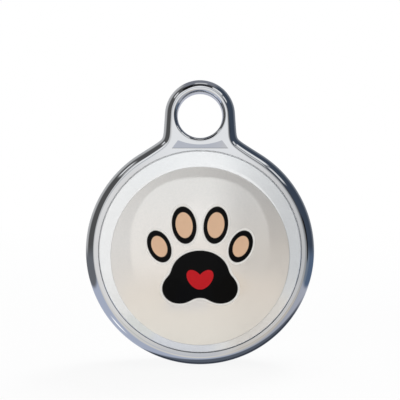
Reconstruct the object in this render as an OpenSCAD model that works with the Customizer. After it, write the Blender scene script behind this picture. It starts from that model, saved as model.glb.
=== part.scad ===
// Round pet tracker tag: a polished cast ring with a collar loop, a domed white face that
// is pressed as one big button, and a twist-off battery door at the back.
// The pieces are drawn lying flat, face up (+Z), with the loop towards +Y. The last step stands
// the tag up: the face then looks along -Y, +Z is up and the origin is the middle of the loop hole.

/* [Chrome frame] */
// Diameter of the opening that the face shows through
face_d = 31.9; // [31.2:0.1:38]
// Width of the polished rim round the face
rim_w = 2.05; // [2:0.05:4]
// Thickness of the frame, front to back
frame_t = 5; // [4.6:0.1:6]
// Radius of the rounded outer edge at the front; the back has it too where the bore leaves room
edge_r = 1.5; // [0.4:0.05:1.6]
// Thickness of the front lip that keeps the face in
lip_t = 1.3; // [1:0.1:1.5]
// How far the lip reaches in over the bore
lip_w = 0.65; // [0.6:0.05:1]

/* [Collar loop] */
// Diameter of the hole that the collar ring goes through
loop_hole_d = 7.1; // [5:0.1:10]
// Width of the metal round the hole
loop_w = 1.95; // [1.8:0.05:3]
// Metal between the hole and the face opening
neck_web = 1.85; // [1.8:0.05:4]
// Radius of the hollow sweep from the loop into the ring
neck_r = 4.75; // [3:0.25:8]
// Rounding at both ends of the hole
hole_edge_r = 0.4; // [0.1:0.05:0.5]
// Width of the small recess below the hole, at its lower edge
recess_w = 8.8; // [5:0.1:9]
// Depth of that recess at its lower edge
recess_depth = 0.3; // [0.2:0.05:0.5]

/* [Face] */
// Gap round the moving face
face_gap = 0.15; // [0.15:0.05:0.35]
// How far the rim of the face stands proud of the frame
cap_rise = 0.15; // [0:0.05:0.5]
// Rise of the sloping border, from the rim of the face to the domed label
cap_slope = 0.12; // [0.04:0.02:0.6]
// Thickness of the face plate
cap_plate_t = 0.8; // [0.6:0.05:1]
// Thickness of the skirt under the face
cap_skirt_t = 0.6; // [0.5:0.05:0.7]
// Height of the flange that the lip holds
cap_flange_t = 1.05; // [1:0.05:1.2]
// Diameter of the domed label
label_d = 27.4; // [20:0.1:28]
// Height of the dome of the label
label_dome_h = 1.2; // [0.6:0.05:2.5]
// Thickness of the label at its edge
label_edge_t = 0.15; // [0.1:0.05:0.4]
// Travel of the face when it is pressed
press_travel = 0.3; // [0.15:0.05:0.35]

/* [Electronics] */
// Thickness of the circuit board
board_t = 0.8; // [0.6:0.1:1.2]
// Free height between the board and the face plate
front_room = 1.7; // [1.6:0.05:2.4]
// Free height between the board and the coin cell
contact_room = 0.4; // [0.35:0.05:0.8]
// Diameter of the coin cell
cell_d = 20; // [16:0.5:20]
// Thickness of the coin cell
cell_t = 3.2; // [3:0.1:5]
// Thread diameter of the board screws
screw_d = 1.2; // [1:0.1:1.3]
// Side of the square sounder
sounder_w = 4; // [3:0.1:4.2]
// Height of the sounder
sounder_h = 1.8; // [1:0.1:1.9]
// Height of the switch plunger above the switch
plunger_show = 0.5; // [0.4:0.05:0.55]

/* [Back] */
// Wall of the rear shell
shell_wall = 1; // [0.8:0.05:1.2]
// Rounding of the rear shell's outer edge
back_edge_r = 2.2; // [1.5:0.1:2.6]
// Thickness of the battery door
door_t = 0.9; // [0.8:0.05:1.4]
// Wall of the door's neck
door_neck_t = 0.85; // [0.6:0.05:0.95]
// How far the door's lugs reach out
lug_reach = 0.85; // [0.5:0.05:0.95]
// Height of a lug
lug_t = 0.7; // [0.5:0.05:0.8]
// Height of the ledge that the lugs turn in over
ledge_t = 0.8; // [0.6:0.05:1]
// Angle that the door turns through from locked to open
twist = 40; // [36:1:46]
// Length of the coin slot
coin_slot_l = 13; // [8:0.5:18]
// Width of the coin slot
coin_slot_w = 1.8; // [1.2:0.1:2.4]
// Depth of the coin slot in its middle
coin_slot_depth = 0.5; // [0.3:0.05:0.6]
// Thickness of the foam pad that steadies the cell
cushion_t = 0.3; // [0.2:0.05:0.6]

/* [Seals] */
// Cord of the ring that seals the face
face_seal_cord = 0.6; // [0.5:0.05:0.7]
// Cord of the ring that seals the rear shell
rear_seal_cord = 0.6; // [0.5:0.05:0.7]
// Cord of the ring that seals the battery door
door_seal_cord = 0.5; // [0.4:0.05:0.55]

/* [Clearances] */
// Gap round the face flange, which slides
slide_gap = 0.2; // [0.1:0.05:0.3]
// Gap round pieces that are fixed in place
seat_gap = 0.1; // [0.05:0.05:0.2]
// Gap round the battery door, which turns
turn_gap = 0.15; // [0.1:0.05:0.25]
// Gap between faces that press on each other
touch_gap = 0.03; // [0.02:0.01:0.05]

/* [Hidden] */
$fn = 96;
overcut = 1;

// Frame outline: ring, loop and the two hollow sweeps that touch them both
face_r = face_d / 2;
ring_r = face_r + rim_w;
bore_r = face_r + lip_w;
hole_r = loop_hole_d / 2;
loop_r = hole_r + loop_w;
loop_y = face_r + neck_web + hole_r;
rim_chamfer = 0.1;
mouth_chamfer = 0.1;
least_land = 0.05;
loop_land = loop_w - hole_edge_r;
edge = min(edge_r, min(frame_t / 2, rim_w - rim_chamfer, loop_land) - least_land);
rear_edge = min(edge, rim_w - lip_w - mouth_chamfer - least_land);
blend_bite = 0.01;
sweep_from_ring = ring_r + neck_r - blend_bite;
sweep_from_loop = loop_r + neck_r - blend_bite;
sweep_y = (sweep_from_ring ^ 2 - sweep_from_loop ^ 2 + loop_y ^ 2) / (2 * loop_y);
sweep_x = sqrt(sweep_from_ring ^ 2 - sweep_y ^ 2);
ring_open = atan2(sweep_x, sweep_y);
loop_open = atan2(sweep_y - loop_y, sweep_x);
ring_trim = asin(sqrt(2 * blend_bite * ring_r / (neck_r * sweep_from_ring))) / 2;
loop_trim = asin(sqrt(2 * blend_bite * loop_r / (neck_r * sweep_from_loop))) / 2;
lining = (loop_r - edge - hole_r - hole_edge_r) / 2;

// Recess below the loop hole: a sloping floor between two shallow arcs
recess_slope = 10;
recess_inset = 0.35;
recess_waist = 0.5;
recess_low = face_r + recess_inset;
recess_lean = 0.8;
recess_arc_r = 11.6;

// Levels from the front to the back, measured from the middle of the frame
front_z = frame_t / 2;
rear_z = -frame_t / 2;
lip_z = front_z - lip_t;
flange_top = lip_z - 2 * touch_gap;
flange_bottom = flange_top - cap_flange_t;
cap_edge_z = front_z + cap_rise;
label_z = cap_edge_z + cap_slope;
plate_z = label_z - cap_plate_t;
board_top = plate_z - front_room;
board_bottom = board_top - board_t;
cell_top = board_bottom - contact_room;
cell_bottom = cell_top - cell_t;
door_inside = cell_bottom - cushion_t - touch_gap;
back_z = door_inside - door_t;
shell_top = flange_bottom - press_travel - turn_gap;

// Face
cap_r = face_r - face_gap;
flange_r = bore_r - slide_gap;
skirt_in = cap_r - cap_skirt_t;
label_r = label_d / 2;
dome_r = (label_r ^ 2 + label_dome_h ^ 2) / (2 * label_dome_h);
dome_fn = 720;
cap_chamfer = 0.12;
board_gap = 0.25;
board_r = skirt_in - board_gap;
guide_count = 2;
guide_r = 0.6;
guide_inset = 1.6;
guide_at = board_r - guide_r - guide_inset;
guide_reach = 0.4;
rib_count = 6;
rib_first = 90;
rib_w = 0.5;
rib_h = 0.25;
rib_in = 2.5;
rib_out = 11.5;
root = cap_plate_t / 4;

// Seal grooves: a little taller than the cord, and the ring stands clear of the bore it wipes
groove_play = 0.06;
seal_gap = 0.05;
face_seal_r = bore_r - seal_gap - face_seal_cord / 2;
face_seal_z = (flange_top + flange_bottom) / 2;
rear_seal_r = bore_r - seal_gap - rear_seal_cord / 2;
rear_seal_z = rear_z + mouth_chamfer + rear_seal_cord / 2 + groove_play;

// Rear shell, its snap groove and the posts for the board
shell_r = bore_r - seat_gap;
shell_in = shell_r - shell_wall;
back_edge = min(back_edge_r, rear_z - back_z);
snap_depth = 0.35;
snap_h = 0.5;
snap_z = rear_seal_z + rear_seal_cord / 2 + 2 * groove_play;
snap_count = 3;
snap_angle = 24;
snap_first = 90;
head_ratio = 0.92;
head_t_ratio = 0.5;
post_ratio = 0.8;
screw_head_r = screw_d * head_ratio;
screw_head_t = screw_d * head_t_ratio;
screw_count = 3;
screw_first = 30;
post_at = board_r - screw_head_r - 2 * seat_gap;
post_r = screw_d * post_ratio;
post_floor = 0.3;
screw_hole_gap = 0.05;

// Battery door: neck round the cell, three lugs, ledge with three entry notches
cell_r = cell_d / 2;
cell_gap = 0.25;
neck_in = cell_r + cell_gap;
neck_out = neck_in + door_neck_t;
ledge_r = neck_out + seat_gap;
lug_r = neck_out + lug_reach;
notch_r = lug_r + 2 * seat_gap;
cover_w = 0.6;
back_land = 1.55;
well_r = max(notch_r + cover_w, shell_r - back_edge - back_land);
door_r = well_r - turn_gap;
ledge_wall = 0.8;
ledge_bottom = door_inside + touch_gap;
ledge_top = ledge_bottom + ledge_t;
lug_bottom = ledge_top + seat_gap;
lug_top = lug_bottom + lug_t;
lug_count = 3;
lug_angle = 26;
notch_play = 3;
stop_angle = 4;
open_turn = -twist;
door_seal_r = well_r - seal_gap - door_seal_cord / 2;
door_seal_z = (back_z + door_inside) / 2;
door_chamfer = 0.15;
coin_r = ((coin_slot_l / 2) ^ 2 + coin_slot_depth ^ 2) / (2 * coin_slot_depth);
dot_r = 0.4;
dot_depth = 0.2;
dot_inset = 1.2;
dot_angle = 90;
shell_dot_at = (well_r + shell_r - back_edge) / 2;
cushion_inset = 2;
cushion_r = cell_r - cushion_inset;

// Coin cell: steel can, lid, gasket between them and the filling
can_wall = 0.25;
can_chamfer = 0.3;
crimp_h = 0.2;
gasket_w = 0.45;
crimp_w = 1.15;
lid_r = cell_r - crimp_w;
gasket_r = lid_r + gasket_w;
gasket_h = 0.6;
lid_t = 0.25;

// Push switch in the middle of the board
switch_l = 4.2;
switch_w = 3.2;
switch_floor = 0.15;
dome_room = 0.15;
plunger_flange_t = 0.17;
plunger_r = 0.8;
plunger_flange_r = 1.2;
switch_base_h = switch_floor + dome_room + press_travel + plunger_flange_t + touch_gap;
switch_cover_t = 0.15;
switch_cover_top = board_top + switch_base_h + switch_cover_t;
plunger_top = switch_cover_top + plunger_show;
post_bottom = plunger_top + touch_gap;
press_post_r = 1.2;

// Small parts on the board, each as [length, width, height] and its place on the board
positioning_chip_size = [4.5, 4.5, 1];
positioning_chip_at = [6.2, 4.2];
radio_chip_size = [4, 4, 0.85];
radio_chip_at = [-6.2, 4.2];
crystal_size = [2, 1.6, 0.5];
crystal_at = [6.2, 8.3];
antenna_inset = 2.4;
antenna_at = board_r - antenna_inset;
positioning_antenna_size = [7, 2, 0.8];
radio_antenna_size = [5, 2, 0.8];
radio_antenna_angle = 135;
inductor_size = [2, 1.6, 1];
inductor_at = [7.5, -4.5];
inductor_pitch = 3;
inductor_count = 2;
capacitor_size = [0.6, 1.1, 0.5];
capacitor_at = [4.2, 0.7];
capacitor_pitch = 1.4;
capacitor_count = 4;
rear_ring = (cell_r + board_r) / 2;
sounder_angle = 210;
sounder_port_r = 0.5;
sounder_port_depth = 0.4;
reserve_size = [2.8, 3.5, 1.5];
reserve_angle = 330;

// Spring contacts of the coin cell
leaf_t = 0.15;
leaf_w = 3;
leaf_pad = 3;
leaf_ramp = 3;
leaf_tip = 3;
side_leaf_w = 2.5;
side_leaf_h = 1.7;
side_leaf_pad = 1.9;
side_leaf_angles = [65, 115];

// Stands the tag up with the middle of the loop hole at the origin
module stand_up() {
    rotate([90, 0, 0]) translate([0, -loop_y, 0]) children();
}

// Copies a piece round the axis of the tag
module ring_of(count, first = 0) {
    for (i = [0 : count - 1]) rotate([0, 0, first + i * 360 / count]) children();
}

// A ring of square section between two radii and two levels
module hoop(r_in, r_out, z_low, z_high) {
    rotate_extrude() translate([r_in, z_low]) square([r_out - r_in, z_high - z_low]);
}

// A part of such a ring, centred on an angle
module hoop_arc(r_in, r_out, z_low, z_high, middle, sweep) {
    rotate_extrude(start = middle - sweep / 2, angle = sweep)
        translate([r_in, z_low]) square([r_out - r_in, z_high - z_low]);
}

// A sealing ring of round cord
module seal_ring(r, z, cord) {
    rotate_extrude() translate([r, z]) circle(d = cord);
}

// The groove that such a ring lies in, open to the outside
module seal_groove(r, z, cord, r_open) {
    half = cord / 2 + groove_play / 2;
    hoop(r - half, r_open, z - half, z + half);
}

// A part soldered to the front of the board
module on_board(size, place) {
    translate([place[0] - size[0] / 2, place[1] - size[1] / 2, board_top]) cube(size);
}

// A part soldered to the back of the board, in the ring of space outside the cell
module under_board(size, angle) {
    rotate([0, 0, angle])
        translate([rear_ring - size[0] / 2, -size[1] / 2, board_bottom - size[2]]) cube(size);
}

// Half section of a flat disc whose rim is rounded front and back
module disc_section(r) {
    translate([0, rear_z]) square([r - edge, frame_t]);
    translate([0, rear_z]) square([r - rear_edge, frame_t - edge]);
    translate([0, rear_z + rear_edge]) square([r, frame_t - edge - rear_edge]);
    translate([r - edge, front_z - edge]) circle(edge);
    translate([r - rear_edge, rear_z + rear_edge]) circle(rear_edge);
}

// Half section of the metal round a hollow of radius r, rounded by e in front and by rear_e behind
module hollow_section(r, e, rear_e, w) {
    translate([r + e, rear_z]) square([w - e, frame_t]);
    translate([r + rear_e, rear_z]) square([w - rear_e, frame_t - e]);
    translate([r, rear_z + rear_e]) square([w, frame_t - e - rear_e]);
    translate([r + e, front_z - e]) circle(e);
    translate([r + rear_e, rear_z + rear_e]) circle(rear_e);
}

// Plan of the neck: a kite between the four centres, less the two hollow sweeps
module neck_plan() {
    difference() {
        polygon([[0, 0], [sweep_x, sweep_y], [0, loop_y], [-sweep_x, sweep_y]]);
        for (side = [-1, 1]) translate([side * sweep_x, sweep_y]) circle(neck_r + edge);
    }
}

// The outline of ring, neck and loop as one plate with an even rounded edge. Each hollow sweep
// bites into ring and loop by a hair and ends inside them, so that no two faces only just touch.
module frame_plate() {
    sweep_angle = 90 - ring_open - loop_open - ring_trim - loop_trim;
    rotate_extrude() disc_section(ring_r);
    translate([0, loop_y, 0]) rotate_extrude() disc_section(loop_r);
    linear_extrude(frame_t, center = true) neck_plan();
    for (side = [0, 1]) mirror([side, 0, 0]) translate([sweep_x, sweep_y, 0])
        rotate_extrude(start = 180 + loop_open + loop_trim, angle = sweep_angle)
            hollow_section(neck_r, edge, rear_edge, 2 * edge);
}

// The stepped hollow in the ring: face opening, bore behind the lip and snap groove
module frame_bore() {
    rotate_extrude() polygon([
        [0, front_z + overcut],
        [face_r + rim_chamfer + overcut, front_z + overcut],
        [face_r, front_z - rim_chamfer],
        [face_r, lip_z],
        [bore_r, lip_z],
        [bore_r, snap_z + snap_h],
        [bore_r + snap_depth, snap_z + snap_h],
        [bore_r + snap_depth, snap_z],
        [bore_r, snap_z],
        [bore_r, rear_z + mouth_chamfer],
        [bore_r + mouth_chamfer + overcut, rear_z - overcut],
        [0, rear_z - overcut]
    ]);
}

// Shallow recess between the hole and the face: its floor slopes down towards the face
module neck_recess() {
    half = recess_w / 2;
    translate([0, recess_low, front_z - recess_depth]) rotate([recess_slope, 0, 0])
        linear_extrude(overcut) difference() {
            polygon([
                [-half, 0], [half, 0],
                [half - recess_lean, 2 * recess_waist],
                [recess_lean - half, 2 * recess_waist]
            ]);
            translate([0, recess_waist + recess_arc_r]) circle(recess_arc_r);
        }
}

module chrome_frame() {
    color("silver") stand_up() {
        difference() {
            frame_plate();
            frame_bore();
            neck_recess();
            translate([0, loop_y, 0])
                cylinder(r = hole_r + hole_edge_r + lining / 2, h = frame_t + overcut, center = true);
        }
        translate([0, loop_y, 0])
            rotate_extrude() hollow_section(hole_r, hole_edge_r, hole_edge_r, hole_edge_r + lining);
    }
}

// White face: plate with a sloping border, skirt, and the flange that the lip holds
module front_cap() {
    color("white") stand_up() {
        difference() {
            rotate_extrude() polygon([
                [0, label_z],
                [label_r + seat_gap, label_z],
                [cap_r - cap_chamfer, cap_edge_z],
                [cap_r, cap_edge_z - cap_chamfer],
                [cap_r, flange_top],
                [flange_r, flange_top],
                [flange_r, flange_bottom],
                [skirt_in, flange_bottom],
                [skirt_in, plate_z],
                [0, plate_z]
            ]);
            seal_groove(face_seal_r, face_seal_z, face_seal_cord, bore_r);
        }
        translate([0, 0, post_bottom]) cylinder(r = press_post_r, h = plate_z + root - post_bottom);
        ring_of(guide_count) translate([guide_at, 0, board_top - guide_reach])
            cylinder(r = guide_r, h = plate_z + root - board_top + guide_reach);
        ring_of(rib_count, rib_first) translate([rib_in, -rib_w / 2, plate_z - rib_h])
            cube([rib_out - rib_in, rib_w, rib_h + root]);
    }
}

// Printed label under a clear dome of resin
module dome_label() {
    color("ivory") stand_up() rotate_extrude() intersection() {
        translate([0, label_z]) square([label_r, label_edge_t + label_dome_h + overcut]);
        translate([0, label_z + label_edge_t + label_dome_h - dome_r]) circle(dome_r, $fn = dome_fn);
    }
}

module face_seal() {
    color("dimgray") stand_up() seal_ring(face_seal_r, face_seal_z, face_seal_cord);
}

// Outer form of the rear shell, or of its hollow, as a half section
module shell_section(r, round, low, high) {
    translate([0, low]) square([r - round, high - low]);
    translate([0, low + round]) square([r, high - low - round]);
    translate([r - round, low + round]) circle(round);
}

// Rear shell: rounded tub with a snap band, board posts and the bayonet ledge for the door
module rear_shell() {
    inner_round = back_edge - shell_wall;
    color("whitesmoke") stand_up() difference() {
        union() {
            rotate_extrude() difference() {
                shell_section(shell_r, back_edge, back_z, shell_top);
                shell_section(shell_in, inner_round, back_z + shell_wall, shell_top + overcut);
            }
            hoop(ledge_r, well_r + ledge_wall, back_z + shell_wall / 2, ledge_top);
            ring_of(snap_count, snap_first)
                rotate_extrude(start = -snap_angle / 2, angle = snap_angle) polygon([
                    [shell_r - seat_gap, snap_z + seat_gap / 2],
                    [bore_r + snap_depth - seat_gap, snap_z + seat_gap / 2],
                    [bore_r + snap_depth - seat_gap, snap_z + snap_h / 2],
                    [shell_r - seat_gap, snap_z + snap_h - seat_gap / 2]
                ]);
            ring_of(screw_count, screw_first) translate([post_at, 0, back_z + shell_wall / 2])
                cylinder(r = post_r, h = board_bottom - back_z - shell_wall / 2);
            ring_of(lug_count) door_stops();
        }
        translate([0, 0, back_z - overcut]) cylinder(r = well_r, h = ledge_bottom - back_z + overcut);
        translate([0, 0, back_z]) cylinder(r = ledge_r, h = ledge_top - back_z + overcut);
        ring_of(lug_count) hoop_arc(
            ledge_r - seat_gap, notch_r, ledge_bottom - overcut, ledge_top + overcut,
            open_turn, lug_angle + 2 * notch_play);
        ring_of(screw_count, screw_first) translate([post_at, 0, back_z + shell_wall + post_floor])
            cylinder(d = screw_d + 2 * screw_hole_gap, h = board_bottom - back_z);
        seal_groove(rear_seal_r, rear_seal_z, rear_seal_cord, bore_r);
        for (turn = [0, open_turn]) rotate([0, 0, dot_angle + turn]) lock_dot(shell_dot_at);
    }
}

// The two ends of a lug's path, standing on the ledge
module door_stops() {
    half_path = lug_angle / 2 + notch_play + stop_angle / 2;
    for (middle = [half_path, open_turn - half_path])
        hoop_arc(ledge_r, notch_r + ledge_wall, ledge_top - seat_gap, lug_top, middle, stop_angle);
}

// A small round dimple in the back face, which shows where the door stands
module lock_dot(at) {
    translate([at, 0, back_z - overcut]) cylinder(r = dot_r, h = overcut + dot_depth);
}

module rear_seal() {
    color("dimgray") stand_up() seal_ring(rear_seal_r, rear_seal_z, rear_seal_cord);
}

module circuit_board() {
    color("darkgreen") stand_up() translate([0, 0, board_bottom]) difference() {
        cylinder(r = board_r, h = board_t);
        ring_of(screw_count, screw_first) translate([post_at, 0, -overcut])
            cylinder(d = screw_d + 2 * screw_hole_gap, h = board_t + 2 * overcut);
        ring_of(guide_count) translate([guide_at, 0, -overcut])
            cylinder(r = guide_r + seat_gap, h = board_t + 2 * overcut);
    }
}

module board_screws() {
    shank = board_top - back_z - shell_wall - 2 * post_floor;
    color("gray") stand_up() ring_of(screw_count, screw_first) translate([post_at, 0, board_top]) {
        cylinder(r = screw_head_r, h = screw_head_t);
        translate([0, 0, -shank]) cylinder(d = screw_d, h = shank);
    }
}

module radio_chip() {
    color("black") stand_up() on_board(radio_chip_size, radio_chip_at);
}

module positioning_chip() {
    color("black") stand_up() on_board(positioning_chip_size, positioning_chip_at);
}

module crystals() {
    color("lightgray") stand_up() for (side = [0, 1]) mirror([side, 0, 0])
        on_board(crystal_size, crystal_at);
}

module radio_antenna() {
    color("white") stand_up() rotate([0, 0, radio_antenna_angle])
        on_board(radio_antenna_size, [0, antenna_at]);
}

module positioning_antenna() {
    color("white") stand_up() on_board(positioning_antenna_size, [0, antenna_at]);
}

module chip_capacitors() {
    color("tan") stand_up() for (side = [0, 1]) mirror([side, 0, 0])
        for (i = [0 : capacitor_count - 1])
            on_board(capacitor_size, capacitor_at - [-i * capacitor_pitch, 0]);
}

module power_inductors() {
    color("dimgray") stand_up() for (i = [0 : inductor_count - 1])
        on_board(inductor_size, inductor_at - [0, i * inductor_pitch]);
}

module reserve_capacitor() {
    color("goldenrod") stand_up() under_board(reserve_size, reserve_angle);
}

// Square sounder with its sound port
module sounder() {
    color("black") stand_up() difference() {
        under_board([sounder_w, sounder_w, sounder_h], sounder_angle);
        rotate([0, 0, sounder_angle]) translate([rear_ring, 0, board_bottom - sounder_h - overcut])
            cylinder(r = sounder_port_r, h = overcut + sounder_port_depth);
    }
}

// Cup of the push switch
module switch_base() {
    color("black") stand_up() difference() {
        on_board([switch_l, switch_w, switch_base_h], [0, 0]);
        translate([0, 0, board_top + switch_floor])
            cylinder(r = plunger_flange_r + 2 * seat_gap, h = switch_base_h);
    }
}

// Metal plate over the switch, with the hole that the plunger comes through
module switch_cover() {
    color("silver") stand_up() translate([0, 0, board_top + switch_base_h]) difference() {
        translate([-switch_l / 2, -switch_w / 2, 0]) cube([switch_l, switch_w, switch_cover_t]);
        translate([0, 0, -overcut]) cylinder(r = plunger_r + seat_gap, h = switch_cover_t + 2 * overcut);
    }
}

// Plunger with the flange that the cover holds in
module switch_plunger() {
    flange_z = board_top + switch_base_h - plunger_flange_t - touch_gap;
    color("ivory") stand_up() translate([0, 0, flange_z]) {
        cylinder(r = plunger_flange_r, h = plunger_flange_t);
        cylinder(r = plunger_r, h = plunger_top - flange_z);
    }
}

// Bent leaf from a pad on the board to the middle of the cell's lid
module negative_contact() {
    low = cell_top + touch_gap;
    start = -leaf_tip / 2 - leaf_ramp - leaf_pad;
    knee = start + leaf_pad;
    foot = knee + leaf_ramp;
    end = foot + leaf_tip;
    color("gold") stand_up() translate([0, leaf_w / 2, 0]) rotate([90, 0, 0])
        linear_extrude(leaf_w) polygon([
            [start, board_bottom], [knee, board_bottom],
            [foot, low + leaf_t], [end, low + leaf_t],
            [end, low], [foot, low],
            [knee, board_bottom - leaf_t], [start, board_bottom - leaf_t]
        ]);
}

// Two angle springs that bear on the side of the can
module positive_contacts() {
    near = cell_r + 2 * touch_gap;
    color("gold") stand_up() for (angle = side_leaf_angles) rotate([0, 0, angle])
        translate([0, side_leaf_w / 2, 0]) rotate([90, 0, 0]) linear_extrude(side_leaf_w) polygon([
            [near, board_bottom], [near + side_leaf_pad, board_bottom],
            [near + side_leaf_pad, board_bottom - leaf_t],
            [near + leaf_t, board_bottom - leaf_t],
            [near + leaf_t, board_bottom - side_leaf_h],
            [near, board_bottom - side_leaf_h]
        ]);
}

// Steel cup of the coin cell, crimped in over the gasket
module cell_can() {
    crimp = cell_top - crimp_h;
    color("lightsteelblue") stand_up() rotate_extrude() polygon([
        [0, cell_bottom], [cell_r - can_chamfer, cell_bottom],
        [cell_r, cell_bottom + can_chamfer], [cell_r, crimp - can_chamfer],
        [cell_r - can_chamfer, crimp], [gasket_r, crimp],
        [gasket_r, crimp - gasket_h], [cell_r - can_wall, crimp - gasket_h],
        [cell_r - can_wall, cell_bottom + can_wall + can_chamfer],
        [cell_r - can_wall - can_chamfer, cell_bottom + can_wall],
        [0, cell_bottom + can_wall]
    ]);
}

// Lid of the coin cell, standing a little above the crimp
module cell_lid() {
    low = cell_top - crimp_h - gasket_h;
    color("silver") stand_up() rotate_extrude() polygon([
        [0, cell_top - lid_t], [lid_r - lid_t, cell_top - lid_t],
        [lid_r - lid_t, low], [lid_r, low],
        [lid_r, cell_top - lid_t / 2], [lid_r - lid_t / 2, cell_top],
        [0, cell_top]
    ]);
}

module cell_gasket() {
    color("black") stand_up()
        hoop(lid_r, gasket_r, cell_top - crimp_h - gasket_h, cell_top - crimp_h);
}

// What fills the cell: the pressed cathode, separator and lithium disc
module cell_filling() {
    floor_z = cell_bottom + can_wall;
    step_z = cell_top - crimp_h - gasket_h;
    wide = cell_r - can_wall;
    color("darkslategray") stand_up() rotate_extrude() polygon([
        [0, floor_z], [wide - can_chamfer, floor_z],
        [wide, floor_z + can_chamfer], [wide, step_z],
        [lid_r - lid_t, step_z], [lid_r - lid_t, cell_top - lid_t],
        [0, cell_top - lid_t]
    ]);
}

// Twist-off battery door: plate with a coin slot, neck and three lugs
module battery_door() {
    color("white") stand_up() difference() {
        union() {
            rotate_extrude() polygon([
                [0, back_z], [door_r - door_chamfer, back_z], [door_r, back_z + door_chamfer],
                [door_r, door_inside], [neck_out, door_inside],
                [neck_out, lug_top], [neck_in, lug_top],
                [neck_in, door_inside], [0, door_inside]
            ]);
            ring_of(lug_count)
                hoop_arc(neck_out - seat_gap, lug_r, lug_bottom, lug_top, 0, lug_angle);
        }
        seal_groove(door_seal_r, door_seal_z, door_seal_cord, well_r);
        translate([0, 0, back_z + coin_slot_depth - coin_r]) rotate([90, 0, 0])
            cylinder(r = coin_r, h = coin_slot_w, center = true);
        rotate([0, 0, dot_angle]) lock_dot(door_r - dot_inset);
    }
}

module door_seal() {
    color("dimgray") stand_up() seal_ring(door_seal_r, door_seal_z, door_seal_cord);
}

module cell_cushion() {
    color("dimgray") stand_up() translate([0, 0, door_inside]) cylinder(r = cushion_r, h = cushion_t);
}

chrome_frame();
front_cap();
dome_label();
face_seal();
rear_shell();
rear_seal();
circuit_board();
board_screws();
radio_chip();
positioning_chip();
crystals();
radio_antenna();
positioning_antenna();
chip_capacitors();
power_inductors();
reserve_capacitor();
sounder();
switch_base();
switch_cover();
switch_plunger();
negative_contact();
positive_contacts();
cell_can();
cell_lid();
cell_gasket();
cell_filling();
battery_door();
door_seal();
cell_cushion();
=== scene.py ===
# %% [markdown]
# A pet tracker tag, dressed for its picture.
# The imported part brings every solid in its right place. This lesson gives the ones that show a
# smooth skin and a real finish, and then lights them as a small product photograph.
# Everything is in metres in the part's own frame: the face looks along -Y, +Z is up, and the
# origin is the middle of the loop hole.

import bmesh
import bpy
import numpy as np
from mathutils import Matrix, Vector
from mathutils.geometry import tessellate_polygon


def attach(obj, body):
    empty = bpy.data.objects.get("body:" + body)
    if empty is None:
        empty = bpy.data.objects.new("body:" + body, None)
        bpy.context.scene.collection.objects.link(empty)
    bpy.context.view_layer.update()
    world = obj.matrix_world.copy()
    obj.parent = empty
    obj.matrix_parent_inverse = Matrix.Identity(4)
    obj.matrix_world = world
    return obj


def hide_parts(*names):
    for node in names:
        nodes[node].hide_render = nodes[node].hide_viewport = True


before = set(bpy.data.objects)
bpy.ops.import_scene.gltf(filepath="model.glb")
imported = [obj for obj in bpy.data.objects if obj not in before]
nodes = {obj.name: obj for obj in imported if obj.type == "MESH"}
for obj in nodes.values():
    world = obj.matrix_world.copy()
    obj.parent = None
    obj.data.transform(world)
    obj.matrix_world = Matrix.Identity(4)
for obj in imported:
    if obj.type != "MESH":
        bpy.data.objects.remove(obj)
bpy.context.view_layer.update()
MM = 0.001


# %% [markdown]
# The camera comes first, because the picture decides everything else. The photograph is taken
# close up: the hole shows a little more of its upper wall than of its lower one, and the face sits
# a hair low in its ring. Both say that the lens stood about 14 cm away and a little higher than
# the middle of the ring, so it looks down by some two degrees.

# %% Camera
LENS_PLACE = Vector((0.0, -140.0, -7.6)) * MM
LENS_AIM = Vector((0.0, 0.0, -13.32)) * MM
VIEW_WIDTH = 63.45 * MM
NEAREST_SEEN = 5.0 * MM


def new_object(name, data):
    """An object that holds the data, put into the scene at the origin."""
    made = bpy.data.objects.new(name, data)
    bpy.context.scene.collection.objects.link(made)
    return made


camera = new_object("camera", bpy.data.cameras.new("camera"))
camera.location = LENS_PLACE
camera.rotation_euler = (LENS_AIM - LENS_PLACE).to_track_quat("-Z", "Y").to_euler()
camera.data.lens = camera.data.sensor_width * (LENS_AIM - LENS_PLACE).length / VIEW_WIDTH
camera.data.clip_start = NEAREST_SEEN
bpy.context.scene.camera = camera
bpy.context.scene.view_settings.view_transform = "Standard"
print("lens of", round(camera.data.lens, 1), "mm")

# %% [markdown]
# Three small helpers serve every finish. Colours are written as people pick them, as sRGB hex, and
# one function turns them to the linear light that the shader counts in. Another adds a node, sets
# it and links it, so that a finish reads as a list of steps. The third starts a finish from one
# shader.

# %% Colour and node helpers
def linear(hex_colour):
    """sRGB hex to linear RGBA: below 0.04045 a straight line, above it a power of 2.4."""
    srgb = np.array([int(hex_colour[i:i + 2], 16) for i in (1, 3, 5)]) / 255
    light = np.where(srgb <= 0.04045, srgb / 12.92, ((srgb + 0.055) / 1.055) ** 2.4)
    return (*light.tolist(), 1.0)


def add(tree, kind, inputs=(), **settings):
    """One node: settings are its own options, inputs maps sockets to values or to other sockets."""
    node = tree.nodes.new(kind)
    for name, value in settings.items():
        setattr(node, name, value)
    for key, value in dict(inputs).items():
        if isinstance(value, bpy.types.NodeSocket):
            tree.links.new(value, node.inputs[key])
        else:
            node.inputs[key].default_value = value
    return node


def new_finish(name, **constants):
    """An empty finish: one shader whose even properties are set on its own sockets."""
    material = bpy.data.materials.new(name)
    material.use_nodes = True
    tree = material.node_tree
    tree.nodes.clear()
    even = {key.replace("_", " "): value for key, value in constants.items()}
    shader = add(tree, "ShaderNodeBsdfPrincipled", even)
    add(tree, "ShaderNodeOutputMaterial", {"Surface": shader.outputs[0]})
    return material, tree, shader


print("chrome blue-grey in linear light:", [round(x, 3) for x in linear("#D1D3D6")])

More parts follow.
